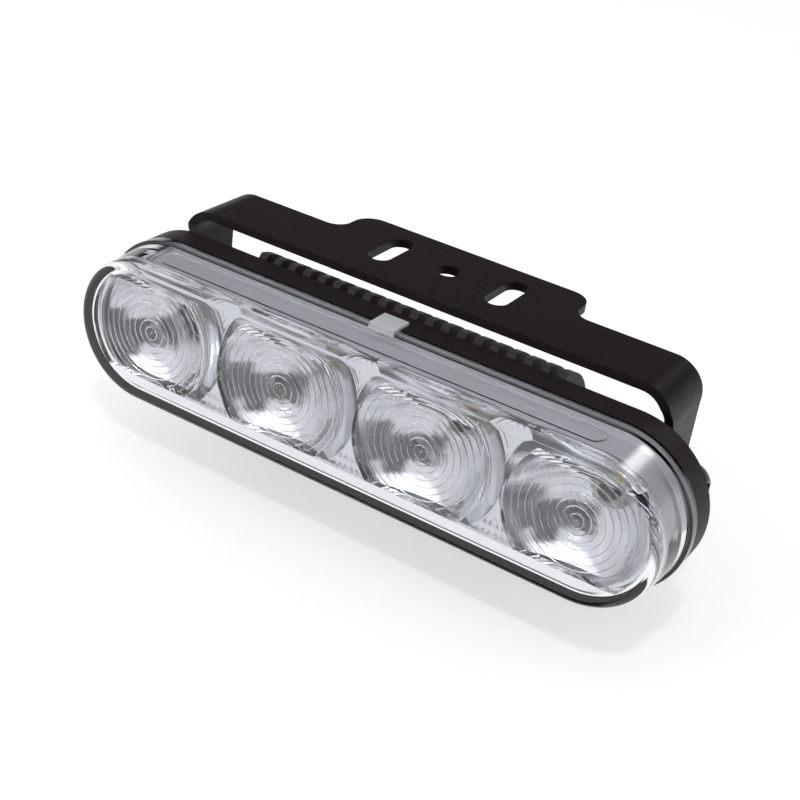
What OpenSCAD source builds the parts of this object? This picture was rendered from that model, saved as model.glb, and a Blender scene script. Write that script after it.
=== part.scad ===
// Daytime running light: a sealed lamp with four lenses, held in a bent steel bracket that it can tilt in.
// The origin is the centre of the round hole in the bracket's mounting face.
// +X runs along the lamp, -Y is the way the light goes and +Z is the mounting face's normal. Sizes in mm.

/* [Row of LEDs] */
// Distance from one LED to the next
led_pitch = 36; // [33:0.5:40]
// From the outer LEDs' centres to the centres of the lamp's round ends
end_shift = 2; // [1:0.5:4]

/* [Front lens] */
// How far the lens wall lies in from the rim where the flange begins
lens_inset = 0.7; // [0.4:0.1:1.2]
// How much lower the lens wall is at its front edge than at the flange, on each side
lens_taper = 0.8; // [0.4:0.1:1.6]
// From the front face to the housing's rim
lens_depth = 14.1; // [12.5:0.1:16]
// Radius of the front edge
lens_edge_r = 1.8; // [1:0.1:2.5]
// Thickness of the flat front face
lens_face_t = 2.8; // [2:0.1:3.2]
// Thickness of the side wall at its front edge
lens_wall = 1.8; // [1.4:0.1:2.2]
// Radius of the hollow edge inside the front face
inner_edge_r = 2; // [1:0.1:2.6]
// How much wider the space inside the lens is at its back, on each side
inner_taper = 0.4; // [0.2:0.1:0.6]
// Depth of the flange against the rim
flange_depth = 2.5; // [1.5:0.1:3.5]
// Thickness of the tongue that enters the rim's groove
tongue_t = 1.6; // [1.2:0.1:2]
// How far the tongue enters the groove
tongue_depth = 2.4; // [1.5:0.1:2.8]
// Length of the blank pad on the top wall
pad_length = 110; // [60:1:120]
// Width of the blank pad
pad_width = 5.2; // [3:0.1:6]
// How far the pad stands proud
pad_proud = 0.3; // [0.2:0.05:0.5]

/* [Fresnel discs] */
// Radius of each disc
disc_r = 16; // [13:0.1:16.4]
// How far each disc stands in from the face
disc_t = 3.2; // [2:0.1:4]
// Half height at which the discs are cut flat
disc_half_h = 11.3; // [9:0.1:12]
// Number of rings in a disc
ring_count = 10; // [6:1:12]
// Depth of the outermost ring's step
ring_depth = 0.4; // [0.2:0.05:1]

/* [Snap tabs] */
// Width of each snap tab
tab_w = 6.2; // [4:0.1:9]
// How far a tab reaches back over the rim
tab_reach = 3.6; // [2:0.1:5]
// Thickness of a tab
tab_t = 1.4; // [1:0.1:1.8]
// Room round a tab in its pocket
tab_gap = 0.15; // [0.1:0.05:0.3]

/* [Housing] */
// Half height of the rim
rim_r = 18.5; // [18.2:0.1:19]
// Depth of the rim from front to back
rim_depth = 6.4; // [5.6:0.1:8]
// Thickness of the housing's floor
floor_t = 2.4; // [2:0.1:3]
// Thickness of the lip inside the groove
lip_t = 1.1; // [0.9:0.1:1.3]
// How far the lip lies behind the rim's front edge
lip_drop = 1.2; // [0.6:0.1:1.6]
// Room on each side of the tongue in its groove
groove_gap = 0.1; // [0.05:0.05:0.2]
// Depth of the tray from the rim's front to its floor
tray_depth = 5; // [4.6:0.1:5.2]

/* [Cooling fins] */
// Number of fins
fin_count = 20; // [8:2:20]
// From the outer fins to the cable inlet's flange
fin_end_room = 1.7; // [1:0.1:4]
// Thickness of a fin
fin_t = 2; // [1.4:0.1:2.2]
// Radius of a fin's rounded back
fin_round = 14.6; // [10:0.1:15]
// How far the fins stand above the rim
fin_proud = 1.1; // [0.4:0.1:1.3]
// How far back the fins reach behind the rim
fin_reach = 13.5; // [10:0.1:15]
// Half height of the core between the fins
core_half_h = 10; // [7:0.1:12]
// How far back the core reaches behind the rim
core_reach = 6; // [4:0.1:8]

/* [Bracket] */
// Thickness of the sheet
sheet_t = 2; // [1.5:0.1:2.5]
// How far the arms' outer faces lie in from the ends of the rim
arm_inset = 12.7; // [12:0.1:14]
// Width of the strip at the ends of the spine
strip_w = 16.4; // [15:0.1:19]
// Width of the spine where the slots are
spine_w = 27.3; // [26:0.1:32]
// Length of the widened part of the spine
spine_wide_length = 60; // [52:0.5:72]
// Radius of the corners of the widened part
spine_corner_r = 5; // [2:0.5:6]
// Radius of the hollow where the widened part begins
spine_fillet_r = 4; // [2:0.5:5]
// Inner radius of the two bends
bend_r = 5.5; // [3:0.5:7]
// Width of the arms
arm_w = 13.6; // [13:0.1:15]
// From the side screws up to the mounting face
arm_rise = 23.5; // [23.3:0.1:30]
// From the side screws forward to the front edge of the spine
spine_forward = 8.8; // [7.5:0.1:9]
// Distance between the two slots
slot_spacing = 30; // [24:0.5:36]
// Width of a slot
slot_w = 5.4; // [5:0.1:6.6]
// Length of a slot from end to end
slot_length = 14.4; // [8:0.1:15]
// Diameter of the round hole
hole_d = 5.6; // [5:0.1:6.6]
// From the spine's front edge to the slots' and the hole's centres
hole_back = 14.8; // [12:0.1:16]

/* [Side screws] */
// Thread diameter
screw_d = 6; // [5:0.1:6]
// Diameter of the domed head
head_d = 10; // [9:0.1:11]
// Height of the head
head_h = 4.4; // [3.4:0.1:5]
// Straight part of the head's side
head_side = 0.8; // [0.4:0.1:1.2]
// Width of the hexagon socket across its flats
socket_af = 4; // [3:0.1:5]
// Depth of the socket
socket_depth = 2.2; // [1.5:0.1:2.6]
// Length of the thread in its boss
grip_length = 8; // [5:0.5:10]
// Radius of the bosses round the thread
boss_r = 7; // [6:0.1:7.5]
// From the rim's back face to the side screws
pivot_back = 10.9; // [10.6:0.1:14]
// Diameter of the flat washers
washer_d = 12; // [10:0.1:13]
// Thickness of the flat and spring washers
washer_t = 1.6; // [1:0.1:2]
// Thickness of the friction washers
friction_t = 0.35; // [0.2:0.05:1]
// Radial clearance of a screw in its hole
screw_gap = 0.08; // [0.03:0.01:0.1]
// Side clearance between the arms and what they slide on
arm_gap = 0.05; // [0.02:0.01:0.1]

/* [LEDs and board] */
// Width of the square LED package
led_w = 5; // [3.5:0.1:5.4]
// Thickness of the package
led_t = 0.9; // [0.6:0.1:1.2]
// Radius of the dome
dome_r = 1.9; // [1:0.1:2.3]
// Width of the board
board_w = 17; // [15:0.5:20]
// How far the board goes past the outer LEDs
board_over = 10; // [6:0.5:12]
// Thickness of the board
board_t = 1.6; // [1:0.1:1.8]
// Thickness of the thermal pad
pad_t = 0.5; // [0.3:0.1:0.8]
// Thread diameter of the board's screws
board_screw_d = 3; // [2.5:0.1:3.5]

/* [Reflector] */
// How far neighbouring bowls run into each other at the front
bowl_overlap = 0.8; // [0.2:0.1:1.4]
// Radius of the hole round each LED
bowl_hole_r = 4; // [3.9:0.1:4.5]
// Number of steps in a bowl
bowl_steps = 18; // [4:1:24]
// Thickness of the reflector's wall
bowl_wall = 1.4; // [1:0.1:1.6]
// Room between the discs and the web between the bowls
reflector_gap = 0.7; // [0.5:0.1:2.5]
// Thickness of the web
web_t = 1; // [0.8:0.1:1.6]
// Room between the discs and the skirt round the bowls
skirt_gap = 0.3; // [0.2:0.1:0.5]
// Thickness of the skirt
skirt_t = 0.8; // [0.6:0.1:1.2]
// Depth of the slanted flange that closes the gap to the lens
flare_depth = 2.1; // [1:0.1:2.4]
// Room between that flange and the lens
flare_gap = 0.2; // [0.1:0.05:0.3]
// Room round the reflector
reflector_room = 0.4; // [0.3:0.1:1]
// From the board's ends in to the reflector's pegs
peg_inset = 2.5; // [2:0.1:3]
// Diameter of the pegs
peg_d = 2.4; // [2:0.1:2.8]

/* [Cable inlet] */
// Bore of the rubber grommet
inlet_d = 3.6; // [3:0.1:5]
// Diameter of the hole that the grommet sits in
inlet_hole_d = 7; // [6:0.1:8]
// Diameter of the grommet's flange
inlet_flange_d = 8.6; // [8:0.1:9]
// From the grommet's flange to the boss beside it
inlet_room = 0.7; // [0.4:0.1:1.5]

/* [Hidden] */
$fn = 96;
overlap = 1;
core = 1.5 * led_pitch + end_shift;
lens_back_r = rim_r - lens_inset;
lens_front_r = lens_back_r - lens_taper;
rim_front = lens_depth;
rim_back = rim_front + rim_depth;
tray_floor = rim_front + tray_depth;
floor_back = tray_floor + floor_t;
board_back = tray_floor - pad_t;
board_front = board_back - board_t;
draft = atan((lens_back_r - lens_front_r) / (lens_depth - flange_depth - lens_edge_r));
inner_front_r = lens_front_r - lens_wall;
inner_back_r = inner_front_r + inner_taper;
groove_in = inner_back_r - groove_gap;
groove_out = inner_back_r + tongue_t + groove_gap;
groove_back = rim_front + tongue_depth + 1.1;
lip_r = groove_in - lip_t;
disc_back = lens_face_t + disc_t;
reflector_front = disc_back + reflector_gap;
skirt_front = disc_back + skirt_gap;
reflector_r = lip_r - reflector_room;
bowl_r = (led_pitch + bowl_overlap) / 2;
lip_front = rim_front + lip_drop;
flare_r = inner_back_r - flare_gap;
peg_x = 1.5 * led_pitch + board_over - peg_inset;
bowl_k = (pow(bowl_r, 2) - pow(bowl_hole_r, 2)) / (board_front - reflector_front);
pivot_y = rim_back + pivot_back;
spine_front = pivot_y - spine_forward;
hole_y = spine_front + hole_back;
half_w = core + rim_r - arm_inset;
bracket_w = 2 * half_w;
arm_in = half_w - sheet_t;
boss_face = arm_in - arm_gap - friction_t;
boss_in = boss_face - grip_length - 1.4;
washer_in = half_w + arm_gap;
head_in = washer_in + 2 * washer_t;
screw_in = boss_face - grip_length;
bore_r = screw_d / 2 + screw_gap;
head_end_r = socket_af / sqrt(3) + 0.4;
dome_foot = (pow(head_side, 2) + pow(head_d / 2, 2) - pow(head_h, 2) - pow(head_end_r, 2)) / (2 * (head_side - head_h));
outer_bend_r = bend_r + sheet_t;
tab_floor = rim_r - 0.9;
inlet_x = inlet_flange_d / 2 + inlet_room - boss_in;
fin_pitch = 2 * (boss_in - inlet_room - inlet_flange_d - fin_end_room - fin_t / 2) / (fin_count - 1);
led_x = [for (i = [-1.5 : 1 : 1.5]) i * led_pitch];

// The lamp is drawn with its front face at y = 0 and its side screws at z = 0, then moved to the part's frame.
module in_frame() {
  translate([0, -hole_y, -arm_rise]) children();
}

// Sweeps a profile round the race-track outline: x is the distance from the core line, y the depth from the front.
module race_track(half_length = core) {
  for (side = [-1, 1])
    translate([side * half_length, 0, 0])
      rotate([0, side * 90, 0]) rotate([-90, 0, 0]) rotate([0, 0, 180]) rotate_extrude(angle = 180) children();
  for (flip = [0, 1])
    mirror([0, 0, flip]) rotate([0, -90, 0]) linear_extrude(height = 2 * half_length, center = true) children();
}

// A ring or plate of the race-track outline between two radii and two depths.
module track_ring(r_in, r_out, y_front, y_back, half_length = core) {
  race_track(half_length) translate([r_in, y_front]) square([r_out - r_in, y_back - y_front]);
}

// Profile of the lens outside: rounded front edge, drafted wall and flange.
module lens_outside() {
  square([lens_front_r - lens_edge_r, lens_edge_r]);
  translate([lens_front_r - lens_edge_r, lens_edge_r]) intersection() {
    circle(r = lens_edge_r);
    translate([0, -lens_edge_r]) square(lens_edge_r);
  }
  polygon([[0, lens_edge_r], [lens_front_r, lens_edge_r], [lens_back_r, lens_depth - flange_depth],
           [rim_r, lens_depth - flange_depth + 0.2], [rim_r, lens_depth], [0, lens_depth]]);
}

// Profile of the space inside the lens, with a hollow edge behind the front face.
module lens_inside() {
  edge_x = inner_front_r - inner_edge_r;
  edge_y = lens_face_t + inner_edge_r;
  translate([edge_x, edge_y]) circle(r = inner_edge_r);
  polygon([[0, lens_face_t], [edge_x, lens_face_t], [edge_x, edge_y], [inner_front_r, edge_y],
           [inner_back_r, lens_depth], [inner_back_r, lens_depth + overlap], [0, lens_depth + overlap]]);
}

// One Fresnel disc: every ring slopes to a step, and the steps deepen towards the edge.
module fresnel_disc() {
  ring_w = disc_r / ring_count;
  rings = [for (i = [0 : ring_count - 1]) each [
    [i * ring_w, disc_back],
    [(i + 1) * ring_w, disc_back - ring_depth * (i + 3) / (ring_count + 2)]]];
  intersection() {
    rotate([-90, 0, 0]) rotate_extrude()
      polygon(concat([[0, lens_face_t - 0.5]], rings, [[disc_r, lens_face_t - 0.5]]));
    translate([-disc_r, 0, -disc_half_h]) cube([2 * disc_r, disc_back, 2 * disc_half_h]);
  }
}

// A snap tab that reaches back over the rim, at the top and again at the bottom.
module snap_tabs(grow = 0) {
  for (flip = [0, 1])
    mirror([0, 0, flip])
      translate([-tab_w / 2 - grow, lens_depth - flange_depth, tab_floor])
        cube([tab_w + 2 * grow, flange_depth + tab_reach + grow, tab_t + grow]);
}

module front_lens() {
  color([0.92, 0.95, 0.97, 0.4]) in_frame() {
    difference() {
      union() {
        race_track() lens_outside();
        track_ring(inner_back_r, inner_back_r + tongue_t, lens_depth - overlap, rim_front + tongue_depth);
        snap_tabs();
        translate([0, lens_edge_r + pad_width / 2 + 2.6, lens_front_r])
          rotate([draft, 0, 0]) translate([0, 0, (pad_width / 2 + 2.6) * sin(draft) - overlap])
            oblong(pad_length, pad_width, overlap + pad_proud);
      }
      race_track() lens_inside();
    }
    intersection() {
      for (x = led_x)
        translate([x, 0, 0]) fresnel_disc();
      track_ring(0, inner_front_r + 0.4, 0, disc_back);
    }
  }
}

// An upright plate with round ends, its length along X.
module oblong(length, width, height) {
  linear_extrude(height = height) {
    square([length - width, width], center = true);
    for (side = [-1, 1])
      translate([side * (length - width) / 2, 0]) circle(d = width);
  }
}

// Half profile of a stepped bowl, widened by the wall for its outside.
module bowl_profile(grow) {
  steps = [for (i = [0 : bowl_steps])
    let (r = bowl_hole_r + (bowl_r - bowl_hole_r) * i / bowl_steps)
    [r + grow, board_front - (pow(r, 2) - pow(bowl_hole_r, 2)) / bowl_k]];
  polygon(concat([[0, board_front]], steps, [[0, reflector_front]]));
}

module bowls(grow) {
  for (x = led_x)
    translate([x, 0, 0]) rotate([-90, 0, 0]) rotate_extrude() bowl_profile(grow);
}

module reflector() {
  color([0.82, 0.83, 0.85]) in_frame() {
    difference() {
      union() {
        intersection() {
          track_ring(0, reflector_r, reflector_front, board_front);
          union() {
            bowls(bowl_wall);
            track_ring(0, reflector_r + overlap, reflector_front, reflector_front + web_t);
          }
        }
        for (side = [-1, 1])
          translate([side * peg_x, board_front - 4 * overlap, 0])
            rotate([-90, 0, 0]) cylinder(d = peg_d, h = 4 * overlap + board_t - 0.2);
      }
      bowls(0);
    }
    track_ring(reflector_r - skirt_t, reflector_r, skirt_front, board_front);
    race_track()
      polygon([[reflector_r - skirt_t, lip_front - flare_depth], [reflector_r, lip_front - flare_depth],
               [flare_r, lip_front - 0.1], [flare_r, lip_front], [reflector_r - skirt_t, lip_front]]);
  }
}

module led_base(i) {
  color([0.93, 0.92, 0.88]) in_frame()
    translate([led_x[i] - led_w / 2, board_front - led_t, -led_w / 2]) cube([led_w, led_t, led_w]);
}

module led_dome(i) {
  color([0.96, 0.9, 0.6]) in_frame()
    translate([led_x[i], board_front - led_t, 0]) rotate([90, 0, 0])
      rotate_extrude() intersection() {
        circle(r = dome_r);
        square(dome_r);
      }
}

// Plate of the board's outline, with the holes that the board and its pad share.
module board_plate(y_front, y_back) {
  difference() {
    translate([-1.5 * led_pitch - board_over, y_front, -board_w / 2])
      cube([3 * led_pitch + 2 * board_over, y_back - y_front, board_w]);
    for (x = [-led_pitch, 0, led_pitch])
      translate([x, y_front - overlap, 0]) rotate([-90, 0, 0])
        cylinder(d = board_screw_d + 0.3, h = y_back - y_front + 2 * overlap);
    for (side = [-1, 1])
      translate([side * peg_x, y_front - overlap, 0]) rotate([-90, 0, 0])
        cylinder(d = peg_d + 0.4, h = y_back - y_front + 2 * overlap);
    translate([inlet_x, y_front - overlap, 0]) rotate([-90, 0, 0])
      cylinder(d = inlet_d, h = y_back - y_front + 2 * overlap);
  }
}

module led_board() {
  color([0.9, 0.92, 0.9]) in_frame() board_plate(board_front, board_back);
}

module thermal_pad() {
  color([0.5, 0.6, 0.7]) in_frame() board_plate(board_back, tray_floor);
}

module board_screws() {
  color([0.6, 0.6, 0.62]) in_frame()
    for (x = [-led_pitch, 0, led_pitch])
      translate([x, board_front, 0]) {
        rotate([90, 0, 0]) difference() {
          cylinder(d = 2 * board_screw_d - 0.4, h = 1.8);
          translate([0, 0, 0.8]) cylinder(d = 1.6, h = 2);
        }
        rotate([-90, 0, 0]) cylinder(d = board_screw_d, h = board_t + pad_t + floor_t - 0.4);
      }
}

module gasket() {
  color([0.15, 0.15, 0.16]) in_frame()
    track_ring(groove_in, groove_out, rim_front + tongue_depth, groove_back);
}

// Outline of a fin seen from the side: straight front, rounded back.
module fin_outline() {
  top = rim_r + fin_proud;
  back = rim_back + fin_reach;
  intersection() {
    polygon([[rim_back - overlap, -top], [rim_back + 1.2, -top], [back, -top], [back, top], [rim_back + 1.2, top],
             [rim_back, rim_r - 0.2], [rim_back - overlap, rim_r - 0.2]]);
    union() {
      for (side = [-1, 1])
        translate([back - fin_round, side * (top - fin_round)]) circle(r = fin_round);
      translate([back - 2 * fin_round, fin_round - top]) square([2 * fin_round, 2 * (top - fin_round)]);
      translate([rim_back - overlap, -top]) square([back - fin_round - rim_back + overlap, 2 * top]);
    }
  }
}

// Draws an outline given in Y and Z as a plate from x to x + thickness.
module side_plate(x, thickness) {
  translate([x, 0, 0]) rotate([90, 0, 90]) linear_extrude(height = thickness) children();
}

module cooling_fins() {
  half = (fin_count - 1) * fin_pitch / 2;
  for (i = [0 : fin_count - 1])
    side_plate(i * fin_pitch - half - fin_t / 2, fin_t) fin_outline();
  translate([-half, floor_back - overlap, -core_half_h])
    cube([2 * half, rim_back + core_reach - floor_back + overlap, 2 * core_half_h]);
}

// Boss for one side screw, joined to the floor.
module side_boss(side) {
  mirror([side < 0 ? 1 : 0, 0, 0])
    side_plate(boss_in, boss_face - boss_in) {
      translate([pivot_y, 0]) circle(r = boss_r);
      translate([floor_back - overlap, -boss_r]) square([pivot_y - floor_back + overlap, 2 * boss_r]);
    }
}

module housing() {
  color([0.1, 0.1, 0.11]) in_frame() difference() {
    union() {
      track_ring(0, rim_r, rim_front, rim_back);
      track_ring(0, rim_r - 2.5, rim_back - overlap, floor_back);
      cooling_fins();
      for (side = [-1, 1])
        side_boss(side);
    }
    track_ring(0, lip_r, rim_front - overlap, tray_floor);
    track_ring(0, groove_out, rim_front - overlap, lip_front);
    track_ring(groove_in, groove_out, rim_front - overlap, groove_back);
    snap_tabs(tab_gap);
    for (x = [-led_pitch, 0, led_pitch])
      translate([x, tray_floor - overlap, 0]) rotate([-90, 0, 0]) cylinder(d = board_screw_d + 0.1, h = floor_t + overlap);
    for (side = [-1, 1])
      translate([side * (boss_face - grip_length - 0.6), pivot_y, 0]) rotate([0, side * 90, 0])
        cylinder(r = bore_r, h = grip_length + 0.6 + overlap);
    translate([inlet_x, tray_floor - overlap, 0]) rotate([-90, 0, 0])
      cylinder(d = inlet_hole_d, h = floor_t + 2 * overlap);
  }
}

module cable_grommet() {
  color([0.08, 0.08, 0.08]) in_frame()
    translate([inlet_x, 0, 0]) rotate([-90, 0, 0]) difference() {
      union() {
        translate([0, 0, tray_floor + 0.2]) cylinder(d = inlet_hole_d - 0.1, h = floor_t);
        translate([0, 0, floor_back]) cylinder(d = inlet_flange_d, h = 1.6);
      }
      translate([0, 0, tray_floor - overlap]) cylinder(d = inlet_d, h = floor_t + 2 * overlap + 2);
    }
}

// Solid arch whose top corners are rounded, from far below up to the given height.
module arch(half_width, top, corner_r, bottom) {
  translate([-half_width, bottom]) square([2 * half_width, top - corner_r - bottom]);
  translate([corner_r - half_width, top - corner_r - overlap])
    square([2 * (half_width - corner_r), corner_r + overlap]);
  for (side = [-1, 1])
    translate([side * (half_width - corner_r), top - corner_r]) circle(r = corner_r);
}

// The spine's outline seen from above, between the bends.
module spine_outline() {
  wide = spine_wide_length / 2;
  narrow_back = spine_front + strip_w;
  wide_back = spine_front + spine_w;
  translate([-half_w - overlap, spine_front]) square([bracket_w + 2 * overlap, strip_w]);
  translate([spine_corner_r - wide, spine_front]) square([2 * (wide - spine_corner_r), spine_w]);
  translate([-wide, spine_front]) square([2 * wide, spine_w - spine_corner_r]);
  for (side = [-1, 1]) {
    translate([side * (wide - spine_corner_r), wide_back - spine_corner_r]) circle(r = spine_corner_r);
    translate([side * (wide + spine_fillet_r / 2), narrow_back + spine_fillet_r / 2]) difference() {
      square(spine_fillet_r, center = true);
      translate([side * spine_fillet_r / 2, spine_fillet_r / 2]) circle(r = spine_fillet_r);
    }
  }
}

// The arm's outline seen from the side: tapered below the bend, round at its end.
module arm_outline() {
  taper_top = arm_rise - sheet_t - bend_r + 3;
  taper_foot = taper_top - 4;
  translate([pivot_y, 0]) circle(d = arm_w);
  polygon([[pivot_y - arm_w / 2, 0], [pivot_y + arm_w / 2, 0], [pivot_y + arm_w / 2, taper_foot],
           [spine_front + strip_w, taper_top], [spine_front + strip_w, arm_rise + overlap],
           [spine_front, arm_rise + overlap], [spine_front, taper_top], [pivot_y - arm_w / 2, taper_foot]]);
}

module bracket() {
  color([0.09, 0.085, 0.085]) in_frame() difference() {
    intersection() {
      translate([0, spine_front + spine_w, 0]) rotate([90, 0, 0]) linear_extrude(height = spine_w) difference() {
        arch(half_w, arm_rise, outer_bend_r, -arm_w);
        arch(arm_in, arm_rise - sheet_t, bend_r, -arm_w - overlap);
      }
      union() {
        translate([0, 0, arm_rise - sheet_t - overlap])
          linear_extrude(height = sheet_t + 2 * overlap) intersection() {
            spine_outline();
            square([2 * (half_w - outer_bend_r), 4 * (spine_front + spine_w)], center = true);
          }
        for (side = [-1, 1])
          mirror([side < 0 ? 1 : 0, 0, 0])
            side_plate(half_w - outer_bend_r, outer_bend_r + overlap) arm_outline();
      }
    }
    for (side = [-1, 1])
      translate([side * (arm_in - overlap), pivot_y, 0]) rotate([0, side * 90, 0])
        cylinder(r = bore_r, h = sheet_t + 2 * overlap);
    for (side = [-1, 1])
      translate([side * slot_spacing / 2, hole_y, arm_rise - sheet_t - overlap]) rotate([0, 0, 90])
        oblong(slot_length, slot_w, sheet_t + 2 * overlap);
    translate([0, hole_y, arm_rise - sheet_t - overlap]) cylinder(d = hole_d, h = sheet_t + 2 * overlap);
  }
}

// Places a piece on a side screw's axis, z pointing outwards.
module on_pivot(side, x) {
  translate([side * x, pivot_y, 0]) rotate([0, side * 90, 0]) children();
}

module side_screw(side) {
  color([0.12, 0.12, 0.12]) in_frame() {
    on_pivot(side, screw_in) cylinder(d = screw_d, h = head_in - screw_in + overlap);
    on_pivot(side, head_in) difference() {
      intersection() {
        cylinder(d = head_d, h = head_h);
        translate([0, 0, dome_foot]) sphere(r = sqrt(pow(head_side - dome_foot, 2) + pow(head_d / 2, 2)));
      }
      translate([0, 0, head_h - socket_depth]) cylinder(r = socket_af / sqrt(3), h = socket_depth + overlap, $fn = 6);
    }
  }
}

module side_lock_washer(side) {
  color([0.2, 0.2, 0.2]) in_frame()
    on_pivot(side, washer_in + washer_t) difference() {
      cylinder(d = washer_d - 1, h = washer_t);
      translate([0, 0, -overlap]) cylinder(r = screw_d / 2 + 0.1, h = washer_t + 2 * overlap);
      rotate([0, 0, 40]) translate([0, -0.4, -overlap]) cube([washer_d, 0.8, washer_t + 2 * overlap]);
    }
}

module plain_washer(side, x, d, t) {
  in_frame() on_pivot(side, x) difference() {
    cylinder(d = d, h = t);
    translate([0, 0, -overlap]) cylinder(r = screw_d / 2 + 0.1, h = t + 2 * overlap);
  }
}

module side_flat_washer(side) {
  color([0.2, 0.2, 0.2]) plain_washer(side, washer_in, washer_d, washer_t);
}

module side_friction_washer(side) {
  color([0.85, 0.85, 0.8]) plain_washer(side, boss_face, arm_w - 0.8, friction_t);
}

front_lens();
reflector();
led_base(0);  // led_base_1
led_base(1);  // led_base_2
led_base(2);  // led_base_3
led_base(3);  // led_base_4
led_dome(0);  // led_dome_1
led_dome(1);  // led_dome_2
led_dome(2);  // led_dome_3
led_dome(3);  // led_dome_4
led_board();
thermal_pad();
board_screws();
gasket();
housing();
cable_grommet();
bracket();
side_screw(-1);  // left_screw
side_screw(1);  // right_screw
side_lock_washer(-1);  // left_lock_washer
side_lock_washer(1);  // right_lock_washer
side_flat_washer(-1);  // left_flat_washer
side_flat_washer(1);  // right_flat_washer
side_friction_washer(-1);  // left_friction_washer
side_friction_washer(1);  // right_friction_washer
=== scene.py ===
"""Dresses the daytime running light: a finish for every piece, a studio and the photograph's camera.

Everything is in metres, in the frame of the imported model: the origin is the centre of the round hole in
the bracket's mounting face, +X runs along the lamp, -Y is the way the light goes, +Z is up. The sizes of
patterns on the lamp are in millimetres, from the middle of its front.
"""

import logging
import math
from dataclasses import dataclass, replace
from enum import Enum
from typing import Any

import bpy
from mathutils import Matrix, Vector


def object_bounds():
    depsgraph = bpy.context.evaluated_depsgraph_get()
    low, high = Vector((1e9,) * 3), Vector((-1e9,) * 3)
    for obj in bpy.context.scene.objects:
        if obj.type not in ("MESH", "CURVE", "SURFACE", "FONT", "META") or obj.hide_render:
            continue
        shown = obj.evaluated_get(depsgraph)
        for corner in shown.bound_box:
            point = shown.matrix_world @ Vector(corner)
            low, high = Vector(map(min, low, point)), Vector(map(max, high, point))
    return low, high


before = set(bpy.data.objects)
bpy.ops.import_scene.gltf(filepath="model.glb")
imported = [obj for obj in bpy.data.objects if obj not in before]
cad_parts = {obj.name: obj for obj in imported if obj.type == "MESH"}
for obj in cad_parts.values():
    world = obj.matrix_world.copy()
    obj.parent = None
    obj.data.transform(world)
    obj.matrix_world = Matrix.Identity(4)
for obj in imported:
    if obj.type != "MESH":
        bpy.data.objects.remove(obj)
CAD_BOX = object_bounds()
MM = 0.001
# The middle of the lamp's front lies this far before and below the origin, in millimetres.
FRONT_MIDDLE_MM = (0.0, 37.4, 23.5)
LAMP_LENGTH_MM = 149.0
# Noise keeps mostly between these values, which are spread over a finish's whole range of roughness.
NOISE_RANGE = (0.3, 0.7)
log = logging.getLogger("lamp")


class Surface(Enum):
    """How a piece's surface was made. Light passes through a clear moulded one alone."""

    CLEAR_MOULDED = "moulded clear"
    METALLISED = "metallised in a vacuum"
    FIRED = "pressed and fired"
    PRINTED = "printed and baked"
    ROLLED = "rolled"
    BRIGHT_PLATED = "bright plated"
    MOULDED = "moulded"
    POWDER_COATED = "powder coated"
    PAINTED = "painted"
    BLACKENED = "blackened in a bath"


def linear(hex_code: str) -> tuple[float, float, float, float]:
    """Turns an sRGB hex colour into a linear one.

    Args:
        hex_code: Six hex digits, such as "1b1b1c".

    Returns:
        Red, green, blue and an alpha of 1.
    """
    parts = [int(hex_code[i : i + 2], 16) / 255 for i in (0, 2, 4)]
    red, green, blue = (c / 12.92 if c <= 0.04045 else ((c + 0.055) / 1.055) ** 2.4 for c in parts)
    return red, green, blue, 1.0


def add(
    tree: bpy.types.NodeTree,
    kind: str,
    values: dict[Any, Any] | None = None,
    **settings: Any,
) -> bpy.types.Node:
    """Adds one node with its settings, values and links.

    Args:
        tree: The node tree.
        kind: The node's type, such as "ShaderNodeBump".
        values: Socket name or number to a value, or to the output socket that feeds it.
        **settings: The node's own properties.

    Returns:
        The new node.
    """
    node = tree.nodes.new(kind)
    for name, value in settings.items():
        setattr(node, name, value)
    for name, value in (values or {}).items():
        if isinstance(value, bpy.types.NodeSocket):
            tree.links.new(value, node.inputs[name])
        else:
            node.inputs[name].default_value = value
    return node


def math_node(tree: bpy.types.NodeTree, operation: str, *values: Any) -> bpy.types.NodeSocket:
    """Adds one sum and returns its result.

    Args:
        tree: The node tree.
        operation: The sum's name, such as "MULTIPLY".
        *values: Its values or the sockets that feed it.

    Returns:
        The socket with the result.
    """
    return add(tree, "ShaderNodeMath", dict(enumerate(values)), operation=operation).outputs[0]


def all_of(tree: bpy.types.NodeTree, first: Any, *others: Any) -> bpy.types.NodeSocket:
    """Multiplies marks between 0 and 1, so that the result is above 0 only where all of them are.

    Args:
        tree: The node tree.
        first: The first mark.
        *others: The marks that it is multiplied by, one after another.

    Returns:
        The socket with the result.
    """
    for other in others:
        first = math_node(tree, "MULTIPLY", first, other)
    return first


def length(tree: bpy.types.NodeTree, across: Any, along: Any) -> bpy.types.NodeSocket:
    """Gives the length of the diagonal over two sides.

    Args:
        tree: The node tree.
        across: The first side.
        along: The second side.

    Returns:
        The socket with the length.
    """
    square = math_node(tree, "MULTIPLY", along, along)
    return math_node(tree, "SQRT", math_node(tree, "MULTIPLY_ADD", across, across, square))


def ramp(
    tree: bpy.types.NodeTree,
    value: Any,
    start: float,
    end: float,
    high: float = 1.0,
) -> bpy.types.NodeSocket:
    """Adds a smooth ramp from 0 at the start to its high value at the end.

    Args:
        tree: The node tree.
        value: The socket that it follows.
        start: Where it is 0, which may lie above or below the end.
        end: Where it is at its high value.
        high: That value.

    Returns:
        The socket with the result.
    """
    if start > end:
        values = {"Value": value, "From Min": end, "From Max": start, "To Min": high, "To Max": 0.0}
    else:
        values = {"Value": value, "From Min": start, "From Max": end, "To Min": 0.0, "To Max": high}
    return add(tree, "ShaderNodeMapRange", values, interpolation_type="SMOOTHSTEP").outputs["Result"]


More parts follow.
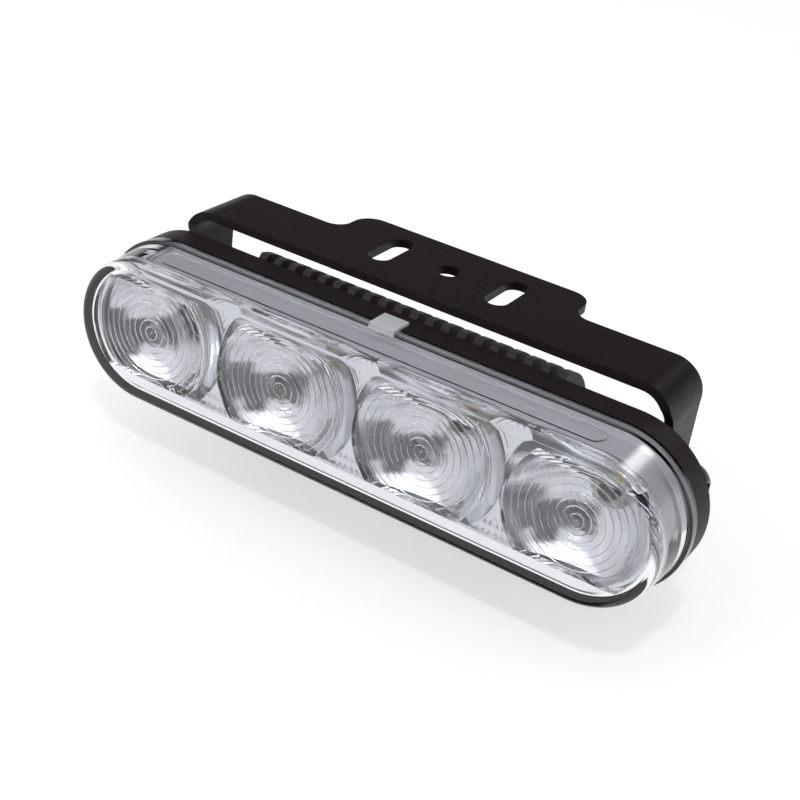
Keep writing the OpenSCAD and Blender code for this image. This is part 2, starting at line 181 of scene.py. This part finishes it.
def mix(tree: bpy.types.NodeTree, factor: Any, first: Any, second: Any) -> bpy.types.NodeSocket:
    """Adds a blend of two colours.

    Args:
        tree: The node tree.
        factor: The share of the second colour.
        first: The first colour.
        second: The second colour.

    Returns:
        The socket with the blend.
    """
    return add(tree, "ShaderNodeMix", {0: factor, 6: first, 7: second}, data_type="RGBA").outputs[2]


def lamp_place(tree: bpy.types.NodeTree) -> list[bpy.types.NodeSocket]:
    """Gives the place on a piece from the middle of the lamp's front, in millimetres.

    Args:
        tree: The material's node tree.

    Returns:
        The sockets for x along the lamp, y from front to back and z upwards.
    """
    place = add(tree, "ShaderNodeTexCoord").outputs["Object"]
    parts = add(tree, "ShaderNodeSeparateXYZ", {0: place}).outputs
    return [
        math_node(tree, "MULTIPLY_ADD", part, 1 / MM, shift)
        for part, shift in zip(parts, FRONT_MIDDLE_MM)
    ]


@dataclass(frozen=True)
class RingCrests:
    """Rings of rounded crests about the four LEDs' axes, too fine for the mesh.

    Attributes:
        pitch: Distance from one LED to the next, in millimetres.
        ring: Width of a ring.
        start: Radius at which the rings begin.
        radius: Radius at which they end.
        half_height: Half the height at which they are cut flat.
        crest: Half width of a crest.
        rise: Height of a crest.
        faces: Depths behind the lamp's front between which the ringed faces lie.
    """

    pitch: float
    ring: float
    start: float
    radius: float
    half_height: float
    crest: float
    rise: float
    faces: tuple[float, float]

    def height(self, tree: bpy.types.NodeTree) -> bpy.types.NodeSocket:
        """Builds the crests' height.

        Args:
            tree: The material's node tree.

        Returns:
            The height in millimetres.
        """
        x, y, z = lamp_place(tree)
        # The LEDs stand a pitch apart, the middle two half a pitch from x = 0.
        across = math_node(tree, "SUBTRACT", math_node(tree, "WRAP", x, self.pitch, 0.0), self.pitch / 2)
        far = length(tree, across, z)
        # The crests lie at whole multiples of the ring's width. This is the distance from the nearest one.
        outside = math_node(tree, "PINGPONG", far, self.ring)
        off_crest = math_node(tree, "MINIMUM", outside, math_node(tree, "SUBTRACT", self.ring, outside))
        crest = ramp(tree, off_crest, self.crest, 0.0, self.rise)
        inside = all_of(
            tree,
            math_node(tree, "LESS_THAN", far, self.radius),
            math_node(tree, "GREATER_THAN", far, self.start),
            math_node(tree, "LESS_THAN", math_node(tree, "ABSOLUTE", z), self.half_height),
            math_node(tree, "GREATER_THAN", y, self.faces[0]),
            math_node(tree, "LESS_THAN", y, self.faces[1]),
        )
        return math_node(tree, "MULTIPLY", crest, inside)


@dataclass(frozen=True)
class BareZone:
    """A zone of a moulding whose surface is matt: unplated, or frosted by the mould.

    Attributes:
        colour: Its sRGB hex colour.
        second: The sRGB hex colour that it varies towards.
        share: How much of the matt surface shows there.
        roughness: Its roughness.
        beyond: Distance from the lamp's middle line at which the zone begins, in millimetres.
        soft: Half the width over which it begins.
        half_length: Half the length of that line, which the lamp's round ends turn about.
        half_width: Half the zone's width along the lamp.
        behind: Depth behind the lamp's front at which the zone begins.
        mottle_mm: Length of its mottling along the lamp, drawn coarser than a real one, which is too fine.
    """

    colour: str
    second: str
    share: float
    roughness: float
    beyond: float
    soft: float = 0.05
    half_length: float = 56.0
    half_width: float = 100.0
    behind: float = -10.0
    mottle_mm: float = 0.3725

    def cover(self, tree: bpy.types.NodeTree, surface: bpy.types.NodeSocket) -> bpy.types.NodeSocket:
        """Lays the matt surface over the given one inside the zone.

        Args:
            tree: The material's node tree.
            surface: The surface outside the zone.

        Returns:
            The blended surface.
        """
        x, y, z = lamp_place(tree)
        side = math_node(tree, "ABSOLUTE", x)
        past = math_node(tree, "MAXIMUM", math_node(tree, "SUBTRACT", side, self.half_length), 0.0)
        far = length(tree, past, z)
        inside = all_of(
            tree,
            ramp(tree, far, self.beyond - self.soft, self.beyond + self.soft),
            self.share,
            math_node(tree, "LESS_THAN", side, self.half_width),
            math_node(tree, "GREATER_THAN", y, self.behind),
        )
        # An unlinked noise runs from 0 to 1 over the whole piece, so its scale counts cells along the lamp.
        cells = LAMP_LENGTH_MM / self.mottle_mm
        cloud = add(tree, "ShaderNodeTexNoise", {"Scale": cells, "Detail": 2.0}).outputs["Fac"]
        tone = mix(tree, cloud, linear(self.colour), linear(self.second))
        matt = add(tree, "ShaderNodeBsdfPrincipled", {"Base Color": tone, "Roughness": self.roughness})
        both = add(tree, "ShaderNodeMixShader", {0: inside, 1: surface, 2: matt.outputs["BSDF"]})
        return both.outputs[0]


@dataclass(frozen=True)
class Finish:
    """One real material with its surface, ready to be put on pieces.

    Attributes:
        name: The material's common name and making.
        surface: How the surface was made.
        colour: Its sRGB hex colour.
        second: The sRGB hex colour that it varies towards.
        roughness: Its mean roughness.
        metallic: 1 for bare metal and 0 for all else.
        ior: Index of refraction, None for a metal, which keeps the default.
        grain_mm: Size of the surface's grain. A plain moulding's is too fine to show, so it is drawn
            as coarse as the default.
        bump_mm: Height of that grain.
        specular: How strong the surface's own gloss is, 0.5 for a plain smooth one.
        cloud_mm: Size of the clouds of its second colour.
        spread: How far its roughness varies to each side, as a share of the mean.
        bare: The zone where another, matt surface shows.
        lines: Rounded crests in rings, too fine for the mesh.
    """

    name: str
    surface: Surface
    colour: str
    second: str
    roughness: float
    metallic: float = 0.0
    ior: float | None = 1.5
    grain_mm: float = 0.5
    bump_mm: float = 0.01
    specular: float = 0.5
    cloud_mm: float = 50 / 3
    spread: float = 0.15
    bare: BareZone | None = None
    lines: RingCrests | None = None

    def build(self) -> bpy.types.Material:
        """Builds the material's node tree.

        Returns:
            The finished material.
        """
        material = bpy.data.materials.new(self.name)
        material.use_nodes = True
        tree = material.node_tree
        tree.nodes.clear()
        shader = add(
            tree,
            "ShaderNodeBsdfPrincipled",
            {"Metallic": self.metallic, "Specular IOR Level": self.specular},
        )
        if self.ior is not None:
            shader.inputs["IOR"].default_value = self.ior
        if self.surface is Surface.CLEAR_MOULDED:
            self._clear(tree, shader)
        else:
            self._solid(tree, shader)
        surface = shader.outputs["BSDF"]
        if self.bare is not None:
            surface = self.bare.cover(tree, surface)
        add(tree, "ShaderNodeOutputMaterial", {"Surface": surface})
        return material

    def _clear(self, tree: bpy.types.NodeTree, shader: bpy.types.Node) -> None:
        """Makes the shader a clear solid, with its ring crests as a bump if it has them.

        Args:
            tree: The material's node tree.
            shader: Its shader.
        """
        shader.inputs["Base Color"].default_value = linear(self.colour)
        shader.inputs["Roughness"].default_value = self.roughness
        shader.inputs["Transmission Weight"].default_value = 1.0
        if self.lines is not None:
            crest_bump = {"Height": self.lines.height(tree), "Strength": 1.0, "Distance": MM}
            bump = add(tree, "ShaderNodeBump", crest_bump)
            tree.links.new(bump.outputs["Normal"], shader.inputs["Normal"])

    def _solid(self, tree: bpy.types.NodeTree, shader: bpy.types.Node) -> None:
        """Gives the shader varied colour and roughness, and its grain and ring crests as a bump.

        Args:
            tree: The material's node tree.
            shader: Its shader.
        """
        place = add(tree, "ShaderNodeTexCoord").outputs["Object"]
        cloud_values = {"Vector": place, "Scale": 1 / (self.cloud_mm * MM), "Detail": 2.0}
        cloud = add(tree, "ShaderNodeTexNoise", cloud_values).outputs["Fac"]
        tint = mix(tree, cloud, linear(self.colour), linear(self.second))
        tree.links.new(tint, shader.inputs["Base Color"])
        grain_values = {"Vector": place, "Scale": 1 / (self.grain_mm * MM), "Detail": 3.0, "Roughness": 0.55}
        grain = add(tree, "ShaderNodeTexNoise", grain_values).outputs["Fac"]
        rough = add(
            tree,
            "ShaderNodeMapRange",
            {
                "Value": grain,
                "From Min": NOISE_RANGE[0],
                "From Max": NOISE_RANGE[1],
                "To Min": self.roughness * (1 - self.spread),
                "To Max": self.roughness * (1 + self.spread),
            },
        )
        tree.links.new(rough.outputs["Result"], shader.inputs["Roughness"])
        grain_bump = {"Height": grain, "Strength": 1.0, "Distance": self.bump_mm * MM}
        normal = add(tree, "ShaderNodeBump", grain_bump).outputs["Normal"]
        if self.lines is not None:
            crest_bump = {"Height": self.lines.height(tree), "Strength": 1.0, "Distance": MM}
            normal = add(tree, "ShaderNodeBump", {**crest_bump, "Normal": normal}).outputs["Normal"]
        tree.links.new(normal, shader.inputs["Normal"])


@dataclass
class PhotoCamera:
    """The camera at the photograph's place.

    Attributes:
        azimuth: Turn round the lamp, in degrees from straight in front.
        elevation: Height above the lamp, in degrees.
        roll: Turn about the line of sight, in degrees.
        distance: From the point looked at, in metres.
        target: The point looked at, in metres.
        lens_mm: Focal length.
        sensor_mm: Width of the sensor.
        nearest: The least distance that it sees, in metres.
    """

    azimuth: float = 28.916
    elevation: float = 29.324
    roll: float = 8.062
    distance: float = 0.314155
    target: tuple[float, float, float] = (0.004949, -0.0224, -0.021491)
    lens_mm: float = 66.14
    sensor_mm: float = 36.0
    nearest: float = 0.01

    def build(self) -> bpy.types.Object:
        """Adds the camera and makes it the scene's.

        Returns:
            The camera object.
        """
        turn, lift, roll = (math.radians(angle) for angle in (self.azimuth, self.elevation, self.roll))
        back = Vector((math.sin(turn) * math.cos(lift), -math.cos(turn) * math.cos(lift), math.sin(lift)))
        level = Vector((math.cos(turn), math.sin(turn), 0))
        upright = back.cross(level)
        right = level * math.cos(roll) + upright * math.sin(roll)
        up = back.cross(right)
        data = bpy.data.cameras.new("photo_camera")
        data.lens = self.lens_mm
        data.sensor_width = self.sensor_mm
        data.clip_start = self.nearest
        camera = bpy.data.objects.new("photo_camera", data)
        bpy.context.scene.collection.objects.link(camera)
        facing = Matrix((right, up, back)).transposed().to_4x4()
        camera.matrix_world = Matrix.Translation(Vector(self.target) + back * self.distance) @ facing
        bpy.context.scene.camera = camera
        return camera


@dataclass(frozen=True)
class StudioSide:
    """A part of the studio, darker or brighter than its white, that bright surfaces mirror.

    Attributes:
        turn: Where it begins and ends, to the right of straight in front, and its softness, in radians.
        height: The same for its height, as the sine of the elevation.
        colour: Its sRGB hex colour.
        level: Its brightness as a multiple of that colour.
        gloss_only: Whether only mirrored rays meet it, and not those that pass through the lens.
    """

    turn: tuple[float, float, float]
    height: tuple[float, float, float]
    colour: str
    level: float = 1.0
    gloss_only: bool = False

    def mask(self, tree: bpy.types.NodeTree, way: bpy.types.NodeSocket) -> bpy.types.NodeSocket:
        """Marks the directions of this side.

        Args:
            tree: The world's node tree.
            way: The direction of the ray.

        Returns:
            1 inside the side's directions and 0 outside them.
        """
        parts = add(tree, "ShaderNodeSeparateXYZ", {0: way}).outputs
        front = math_node(tree, "MULTIPLY", parts["Y"], -1.0)
        turn = math_node(tree, "ARCTAN2", parts["X"], front)
        edges = []
        for value, (low, high, soft) in ((turn, self.turn), (parts["Z"], self.height)):
            edges.append(ramp(tree, value, low - soft, low + soft))
            edges.append(ramp(tree, value, high + soft, high - soft))
        return all_of(tree, *edges)


@dataclass(frozen=True)
class StudioLight:
    """A round lamp of the studio, which lights matt surfaces and isn't mirrored.

    Attributes:
        name: Its name.
        direction: Where it stands, seen from the running light.
        distance: How far away it stands, in metres.
        size: Its width, in metres.
        power: Its power, in watts.
    """

    name: str
    direction: tuple[float, float, float]
    distance: float
    size: float
    power: float

    def build(self, middle: Vector) -> None:
        """Adds the lamp, turned to the middle of the running light.

        Args:
            middle: The place that it shines at, in metres.
        """
        data = bpy.data.lights.new(self.name, "AREA")
        data.shape = "DISK"
        data.size = self.size
        data.energy = self.power
        light = bpy.data.objects.new(self.name, data)
        bpy.context.scene.collection.objects.link(light)
        away = Vector(self.direction).normalized()
        light.location = middle + away * self.distance
        light.rotation_euler = away.to_track_quat("Z", "Y").to_euler()
        light.visible_glossy = False
        light.visible_transmission = False


# The studio is bright overhead, all the way round.
OVERHEAD = StudioSide((-4.0, 4.0, 0.2), (0.66, 2.0, 0.04), "ffffff", level=2.4)
# Behind the lamp it is unlit, which keeps black surfaces black where they mirror it.
REAR_SIDES = (
    StudioSide((1.7, 4.0, 0.2), (0.18, 1.3, 0.12), "2c2a29", gloss_only=True),
    StudioSide((-4.0, -1.9, 0.2), (0.18, 1.3, 0.12), "2c2a29", gloss_only=True),
)
# Two lit patches give the glints in the discs and the soft highlight at the lens's right end.
LIT_PATCHES = (
    StudioSide((0.32, 0.6, 0.08), (0.8, 0.86, 0.03), "ffffff", level=40.0),
    StudioSide((2.72, 3.04, 0.1), (0.64, 0.74, 0.07), "ffffff", level=9.0),
)
# Painted shadow: the lamp's own shadow on the ground close before it, painted as a grey patch into the world
# that mirrored and bent rays meet.
PAINTED_FLOOR_SHADOW = StudioSide((-0.87, -0.17, 0.1), (-2.0, -0.64, 0.04), "6a6866")
# A dark opening before the lamp darkens the left half of each bowl.
DARK_OPENING = (
    StudioSide((-0.3, 2.1, 0.15), (0.16, 0.43, 0.04), "120f0e"),
    StudioSide((-0.2, 2.1, 0.1), (-0.1, 0.2, 0.04), "120f0e"),
    StudioSide((0.8, 2.1, 0.1), (-0.34, -0.04, 0.04), "120f0e"),
    StudioSide((0.45, 1.0, 0.08), (0.39, 0.68, 0.04), "120f0e"),
)


@dataclass
class Studio:
    """A pale floor in a white studio with soft lights.

    Attributes:
        drop: How far the floor lies below the lamp, in metres.
        reach: How far the floor goes to each side, in metres.
        floor_colour: The floor's sRGB hex colour.
        floor_glow: What the floor adds to its lit colour where it is seen, so that it is near white.
        fill: How strongly the world lights matt surfaces.
        sides: The parts that differ from white. A later one covers those before it.
        lights: The lamps.
    """

    drop: float = 0.014
    reach: float = 4.0
    floor_colour: str = "eeeeee"
    floor_glow: float = 0.35
    fill: float = 0.7
    sides: tuple[StudioSide, ...] = (OVERHEAD, *REAR_SIDES, *LIT_PATCHES, PAINTED_FLOOR_SHADOW, *DARK_OPENING)
    lights: tuple[StudioLight, ...] = (
        StudioLight("key", (0.25, -0.5, 0.83), distance=0.7, size=0.05, power=0.7),
        StudioLight("front", (-0.55, -0.75, 0.35), distance=0.9, size=0.5, power=1.6),
    )

    def build(self) -> None:
        """Adds the world, the floor and the lights."""
        low, high = CAD_BOX
        self._world()
        self._floor(low[2] - self.drop)
        for light in self.lights:
            light.build((Vector(low) + Vector(high)) / 2)

    def _world(self) -> None:
        """Makes the world white to the camera, and white with its sides to mirrored and bent rays."""
        world = bpy.data.worlds.new("studio")
        bpy.context.scene.world = world
        world.use_nodes = True
        tree = world.node_tree
        tree.nodes.clear()
        path = add(tree, "ShaderNodeLightPath")
        way = add(tree, "ShaderNodeTexCoord").outputs["Generated"]
        glossy, through = path.outputs["Is Glossy Ray"], path.outputs["Is Transmission Ray"]
        bent = math_node(tree, "MAXIMUM", glossy, through)
        tone: Any = linear("ffffff")
        for side in self.sides:
            inside = all_of(tree, side.mask(tree, way), glossy if side.gloss_only else bent)
            red, green, blue, _ = (part * side.level for part in linear(side.colour))
            tone = mix(tree, inside, tone, (red, green, blue, 1.0))
        level = add(
            tree,
            "ShaderNodeMapRange",
            {
                "Value": math_node(tree, "MAXIMUM", path.outputs["Is Camera Ray"], bent),
                "To Min": self.fill,
                "To Max": 1.0,
            },
        )
        back = add(tree, "ShaderNodeBackground", {"Color": tone, "Strength": level.outputs["Result"]})
        add(tree, "ShaderNodeOutputWorld", {"Surface": back.outputs["Background"]})

    def _floor(self, height: float) -> None:
        """Adds the pale floor, which keeps the lamp's shadow.

        Args:
            height: The floor's height, in metres.
        """
        mesh = bpy.data.meshes.new("floor")
        ways = ((-1, -1), (1, -1), (1, 1), (-1, 1))
        corners = [(x * self.reach, y * self.reach, height) for x, y in ways]
        mesh.from_pydata(corners, [], [(0, 1, 2, 3)])
        floor = bpy.data.objects.new("floor", mesh)
        bpy.context.scene.collection.objects.link(floor)
        # Mirrored and bent rays pass the floor, so that they meet the world's own sides.
        floor.visible_glossy = False
        floor.visible_transmission = False
        material = bpy.data.materials.new("white sweep")
        material.use_nodes = True
        tree = material.node_tree
        tree.nodes.clear()
        path = add(tree, "ShaderNodeLightPath")
        seen = math_node(tree, "MAXIMUM", path.outputs["Is Camera Ray"], path.outputs["Is Transmission Ray"])
        seen = math_node(tree, "MAXIMUM", seen, path.outputs["Is Glossy Ray"])
        glow = math_node(tree, "MULTIPLY", seen, self.floor_glow)
        shade = add(tree, "ShaderNodeBsdfDiffuse", {"Color": linear(self.floor_colour)})
        light = add(tree, "ShaderNodeEmission", {"Strength": glow})
        both = add(tree, "ShaderNodeAddShader", {0: shade.outputs[0], 1: light.outputs[0]})
        add(tree, "ShaderNodeOutputMaterial", {"Surface": both.outputs[0]})
        mesh.materials.append(material)


# Moulded in a polished mould: clear, colourless and glossy, so its walls and edges catch the studio's
# light and dark sides.
POLYCARBONATE = Finish(
    "clear moulded polycarbonate", Surface.CLEAR_MOULDED, "fbfcff", "fbfcff", roughness=0.015, ior=1.585
)
# Aluminium laid on a moulding in a vacuum: a silvery, slightly soft mirror. Its grain is the moulding's
# faint waviness.
METALLISED = Finish(
    "metallised moulding",
    Surface.METALLISED,
    "dcdde0",
    "cfd1d4",
    roughness=0.12,
    metallic=1.0,
    ior=None,
    grain_mm=0.8,
    bump_mm=0.003,
)
# Pressed and fired: an even, matt and faintly warm white.
CERAMIC = Finish("white ceramic", Surface.FIRED, "eeece4", "e6e3d8", roughness=0.5)
# Moulded clear over the yellow phosphor: a small glossy yellow drop.
SILICONE = Finish(
    "yellow silicone dome", Surface.CLEAR_MOULDED, "f4e08a", "f4e08a", roughness=0.05, ior=1.41
)
# Printed and baked on the board: smooth, satin and white with a touch of green.
WHITE_MASK = Finish("white solder mask", Surface.PRINTED, "e9ece8", "dfe4df", roughness=0.35)
# A filled sheet, rolled: soft, dull and mid grey.
GREY_PAD = Finish("grey silicone pad", Surface.ROLLED, "8b9094", "7f8488", roughness=0.7)
# Bright plating on pressed steel: a light grey metal with a blurred shine.
ZINC = Finish(
    "zinc plated steel",
    Surface.BRIGHT_PLATED,
    "b9bbbe",
    "a9abae",
    roughness=0.3,
    metallic=1.0,
    ior=None,
    grain_mm=0.3,
    bump_mm=0.003,
)
# Moulded: dull and nearly black, with a broad weak sheen.
RUBBER = Finish("black rubber", Surface.MOULDED, "161616", "1c1c1c", roughness=0.6)
# Powder baked on a die casting: nearly black and dull, with a fine raised grain that breaks up light.
CASTING = Finish(
    "black powder coated casting",
    Surface.POWDER_COATED,
    "1a1513",
    "211b19",
    roughness=0.5,
    grain_mm=0.35,
    bump_mm=0.02,
    specular=0.2,
)
# Paint on bent sheet: nearly black, even and satin, with the shallow waves of sprayed paint.
STEEL = Finish(
    "black painted steel",
    Surface.PAINTED,
    "181213",
    "1d1718",
    roughness=0.4,
    grain_mm=0.9,
    bump_mm=0.01,
    specular=0.15,
)
# Turned and pressed steel with a thin oxide: black, with a soft gloss on the rounded heads.
BLACK_OXIDE = Finish(
    "black oxide steel",
    Surface.BLACKENED,
    "1b1a1a",
    "232121",
    roughness=0.35,
    grain_mm=0.3,
    bump_mm=0.004,
)
# Moulded: a milky, warm white with a weak gloss.
NYLON = Finish("natural nylon", Surface.MOULDED, "e2e0d6", "d9d6ca", roughness=0.45)


@dataclass
class Group:
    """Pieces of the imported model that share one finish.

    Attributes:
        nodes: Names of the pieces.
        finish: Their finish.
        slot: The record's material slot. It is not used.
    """

    nodes: tuple[str, ...]
    finish: Finish
    slot: str

    def dress(self) -> None:
        """Gives every piece its finish."""
        material = self.finish.build()
        for name in self.nodes:
            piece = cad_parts[name]
            piece.data.materials.clear()
            piece.data.materials.append(material)
            log.info("dressed %s in %s, %s", name, self.finish.name, self.finish.surface.value)


class SubAssembly:
    """Pieces that come off the lamp together."""

    def groups(self) -> tuple[Group, ...]:
        """Lists its groups of pieces. Each sub-assembly has its own."""
        raise NotImplementedError

    def dress(self) -> None:
        """Dresses its groups in order."""
        for group in self.groups():
            group.dress()


@dataclass
class LensUnit(SubAssembly):
    """The clear lens and the reflector behind it.

    Attributes:
        disc_crests: Crests between the rings of the lens's discs. A real one is a sharp edge, too fine
            to show, so it is drawn 0.36 mm wide.
        web_crests: Fine rings that carry on over the reflector's web. They are drawn 0.6 mm wide for the
            same reason.
        tab: The frosted face of the lens's snap tab, which looks milky.
        flange: The reflector's unplated flange, which looks matt and pale grey.
    """

    disc_crests: RingCrests = RingCrests(
        pitch=36.0,
        ring=1.6,
        start=0.0,
        radius=16.3,
        half_height=11.4,
        crest=0.18,
        rise=0.09,
        faces=(4.6, 6.6),
    )
    web_crests: RingCrests = RingCrests(
        pitch=36.0,
        ring=1.1,
        start=18.4,
        radius=40.0,
        half_height=13.6,
        crest=0.3,
        rise=0.03,
        faces=(0.0, 40.0),
    )
    tab: BareZone = BareZone(
        "f2f4f7", "e7e9ee", share=0.6, roughness=0.4, beyond=17.45, half_width=3.2, behind=11.3
    )
    flange: BareZone = BareZone("e3e4e7", "d9dadf", share=1.0, roughness=0.4, beyond=13.9)

    def groups(self) -> tuple[Group, ...]:
        """Lists the lens and the reflector.

        Returns:
            A group for each.
        """
        lens_finish = replace(POLYCARBONATE, bare=self.tab, lines=self.disc_crests)
        reflector_finish = replace(METALLISED, bare=self.flange, lines=self.web_crests)
        return (
            Group(("front_lens",), lens_finish, "clear_lens"),
            Group(("reflector",), reflector_finish, "bright_metal"),
        )


@dataclass
class LightEngine(SubAssembly):
    """The LEDs on their board, with the pad and the screws under and in it.

    Attributes:
        leds: The number of LEDs.
    """

    leds: int = 4

    def groups(self) -> tuple[Group, ...]:
        """Lists the LEDs' bases and domes, the board, the pad and the screws.

        Returns:
            A group for each finish.
        """
        numbers = range(1, self.leds + 1)
        return (
            Group(tuple(f"led_base_{i}" for i in numbers), CERAMIC, "led_ceramic"),
            Group(tuple(f"led_dome_{i}" for i in numbers), SILICONE, "led_silicone"),
            Group(("led_board",), WHITE_MASK, "board_white"),
            Group(("thermal_pad",), GREY_PAD, "pad_grey"),
            Group(("board_screws",), ZINC, "zinc_screw"),
        )


@dataclass
class FinnedBody(SubAssembly):
    """The housing with its two rubber seals.

    Attributes:
        seals: Names of the seals.
    """

    seals: tuple[str, ...] = ("gasket", "cable_grommet")

    def groups(self) -> tuple[Group, ...]:
        """Lists the seals and the housing.

        Returns:
            A group for each finish.
        """
        return (
            Group(self.seals, RUBBER, "seal_rubber"),
            Group(("housing",), CASTING, "black_casting"),
        )


@dataclass
class Mounting(SubAssembly):
    """The bracket and what clamps the lamp in it at each end.

    Attributes:
        ends: The words that the pieces' names begin with.
        clamps: The black pieces at each end, from outside to inside.
    """

    ends: tuple[str, str] = ("left", "right")
    clamps: tuple[str, ...] = ("screw", "lock_washer", "flat_washer")

    def groups(self) -> tuple[Group, ...]:
        """Lists the bracket, the black clamping pieces and the friction washers.

        Returns:
            A group for each finish.
        """
        black = tuple(f"{end}_{clamp}" for clamp in self.clamps for end in self.ends)
        return (
            Group(("bracket",), STEEL, "black_steel"),
            Group(black, BLACK_OXIDE, "black_screw"),
            Group(tuple(f"{end}_friction_washer" for end in self.ends), NYLON, "nylon"),
        )


def main() -> None:
    """Builds the camera, the studio and the lamp's sub-assemblies, in order."""
    PhotoCamera().build()
    Studio().build()
    for part in (LensUnit(), LightEngine(), FinnedBody(), Mounting()):
        part.dress()
    bpy.context.scene.view_settings.view_transform = "Standard"


if __name__ == "__main__":
    logging.basicConfig(level=logging.INFO, format="%(message)s")
    main()
